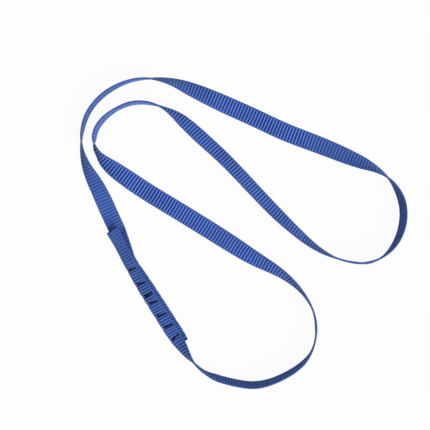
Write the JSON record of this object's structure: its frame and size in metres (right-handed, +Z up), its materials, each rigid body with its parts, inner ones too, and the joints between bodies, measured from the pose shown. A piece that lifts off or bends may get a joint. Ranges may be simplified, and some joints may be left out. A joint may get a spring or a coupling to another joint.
{
  "type": "anchor sling",
  "caption": "Closed loop of flat ribbed tape joined by sewn bar tacks, laid out in two long lobes; it links an anchor point to a connector.",
  "frame": {"origin": "middle of the laid sling's outline, on the surface it lies on", "axes": "+X towards the lobe that ends at the right of the picture, +Y towards the picture's top, +Z up from the surface"},
  "size_m": [0.3394, 0.3232, 0.019],
  "materials": {
    "nylon_tape": "cross-ribbed woven nylon, matt with a slight sheen on the ribs",
    "tack_thread": "bonded nylon sewing thread, slightly waxy"
  },
  "bodies": {
    "root": {"webbing": "nylon_tape", "tack_1_needle_thread": "tack_thread", "tack_2_needle_thread": "tack_thread", "tack_3_needle_thread": "tack_thread", "tack_4_needle_thread": "tack_thread", "tack_5_needle_thread": "tack_thread", "tack_6_needle_thread": "tack_thread", "tack_7_needle_thread": "tack_thread", "tack_1_bobbin_thread": "tack_thread", "tack_2_bobbin_thread": "tack_thread", "tack_3_bobbin_thread": "tack_thread", "tack_4_bobbin_thread": "tack_thread", "tack_5_bobbin_thread": "tack_thread", "tack_6_bobbin_thread": "tack_thread", "tack_7_bobbin_thread": "tack_thread"}
  },
  "joints": []
}
